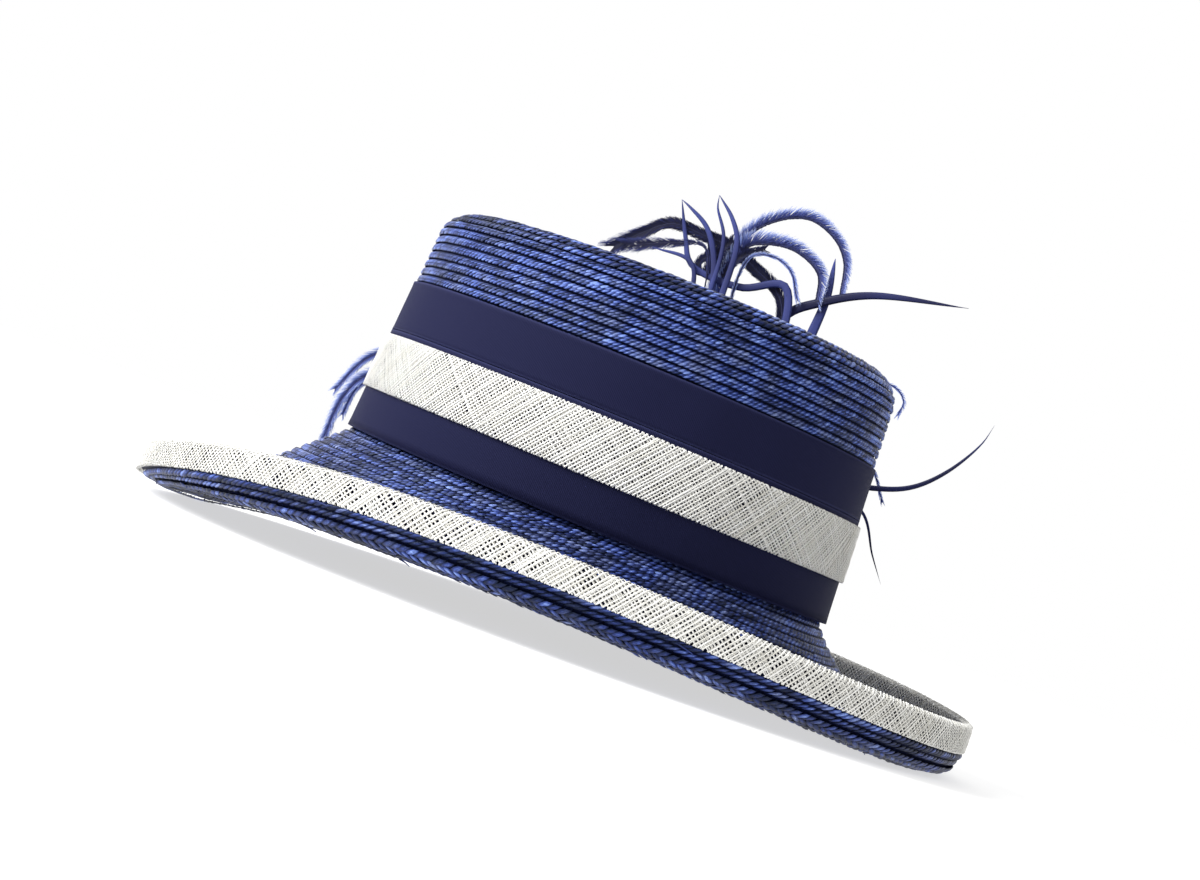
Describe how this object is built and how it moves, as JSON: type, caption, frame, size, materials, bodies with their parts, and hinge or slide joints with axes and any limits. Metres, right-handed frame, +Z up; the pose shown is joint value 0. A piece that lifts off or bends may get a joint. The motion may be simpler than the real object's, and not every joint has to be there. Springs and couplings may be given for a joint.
{
  "type": "straw boater hat",
  "caption": "Oval straw boater with a flat tip, turned-up brim, dark ribbons, cream open-weave band and edge, and a feather spray.",
  "frame": {"origin": "on the surface that the brim rests on, below the middle of the brim", "axes": "+Z up, -Y towards the wearer's front, +X towards the wearer's left; the feather spray is on -X"},
  "size_m": [0.2938, 0.3374, 0.1996],
  "materials": {
    "straw": "sewn straw braid dyed navy, satin",
    "ribbon": "ribbed petersham ribbon, matte dark navy",
    "sinamay": "open-weave cream sinamay cut on the bias",
    "feather": "dyed navy feathers with violet-blue and pale tips"
  },
  "bodies": {
    "root": {"crown": "straw", "brim": "straw", "ribbon_lower": "ribbon", "ribbon_upper": "ribbon", "sinamay_band": "sinamay", "brim_binding": "sinamay", "feather_spray": "feather"}
  },
  "joints": []
}
